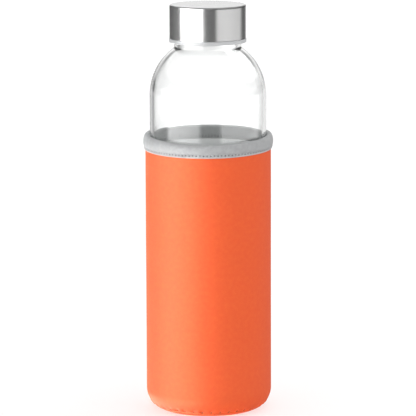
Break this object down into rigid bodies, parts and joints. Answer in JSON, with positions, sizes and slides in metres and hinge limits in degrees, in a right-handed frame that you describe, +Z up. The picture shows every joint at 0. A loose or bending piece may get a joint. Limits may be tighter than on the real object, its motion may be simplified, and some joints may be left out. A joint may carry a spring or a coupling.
{
  "type": "glass water bottle",
  "caption": "Clear glass water bottle with a domed shoulder, a brushed steel screw cap and an orange knit neoprene sleeve with a stitched grey binding.",
  "frame": {"origin": "centre of the flat underside of the sleeve, on the surface that the bottle stands on", "axes": "+Z up along the bottle's axis, towards the cap; +Y towards the side with the sleeve's back seam; +X completes the right hand"},
  "size_m": [0.0726, 0.0726, 0.2285],
  "materials": {
    "clear_glass": "clear polished glass",
    "cap_steel": "brushed round the wall and turned on the top",
    "cap_plastic": "satin light grey moulding",
    "gasket_silicone": "soft translucent white silicone",
    "sleeve_knit": "fine matte orange knit",
    "neoprene_foam": "closed-cell foam",
    "lining_knit": "fine matte grey knit",
    "binding_knit": "soft brushed light grey knit tape",
    "binding_thread": "light grey sewing thread",
    "seam_thread": "orange sewing thread"
  },
  "bodies": {
    "sleeve": {"sleeve_face": "sleeve_knit", "sleeve_foam": "neoprene_foam", "sleeve_lining": "lining_knit", "base_face": "sleeve_knit", "base_foam": "neoprene_foam", "base_lining": "lining_knit", "top_binding": "binding_knit", "binding_stitches": "binding_thread", "base_seam_stitches": "seam_thread", "back_seam_stitches": "seam_thread"},
    "bottle": {"glass_bottle": "clear_glass"},
    "cap_seal": {"cap_gasket": "gasket_silicone"},
    "cap": {"cap_shell": "cap_steel", "cap_liner": "cap_plastic"}
  },
  "joints": [
    {"name": "bottle_lift", "type": "slide", "parent": "sleeve", "child": "bottle", "axis": [0, 0, 1], "range_m": [0, 0.16]},
    {"name": "cap_lift", "type": "slide", "parent": "bottle", "child": "cap_seal", "axis": [0, 0, 1], "range_m": [0, 0.0321]},
    {"name": "cap_turn", "type": "hinge", "parent": "cap_seal", "child": "cap", "pos_m": [0, 0, 0.218], "axis": [0, 0, 1], "range_deg": [0, 2880]}
  ],
  "couplings": [
    {"joint": "cap_lift", "follows": "cap_turn", "m_per_rad": 0.00063662}
  ]
}
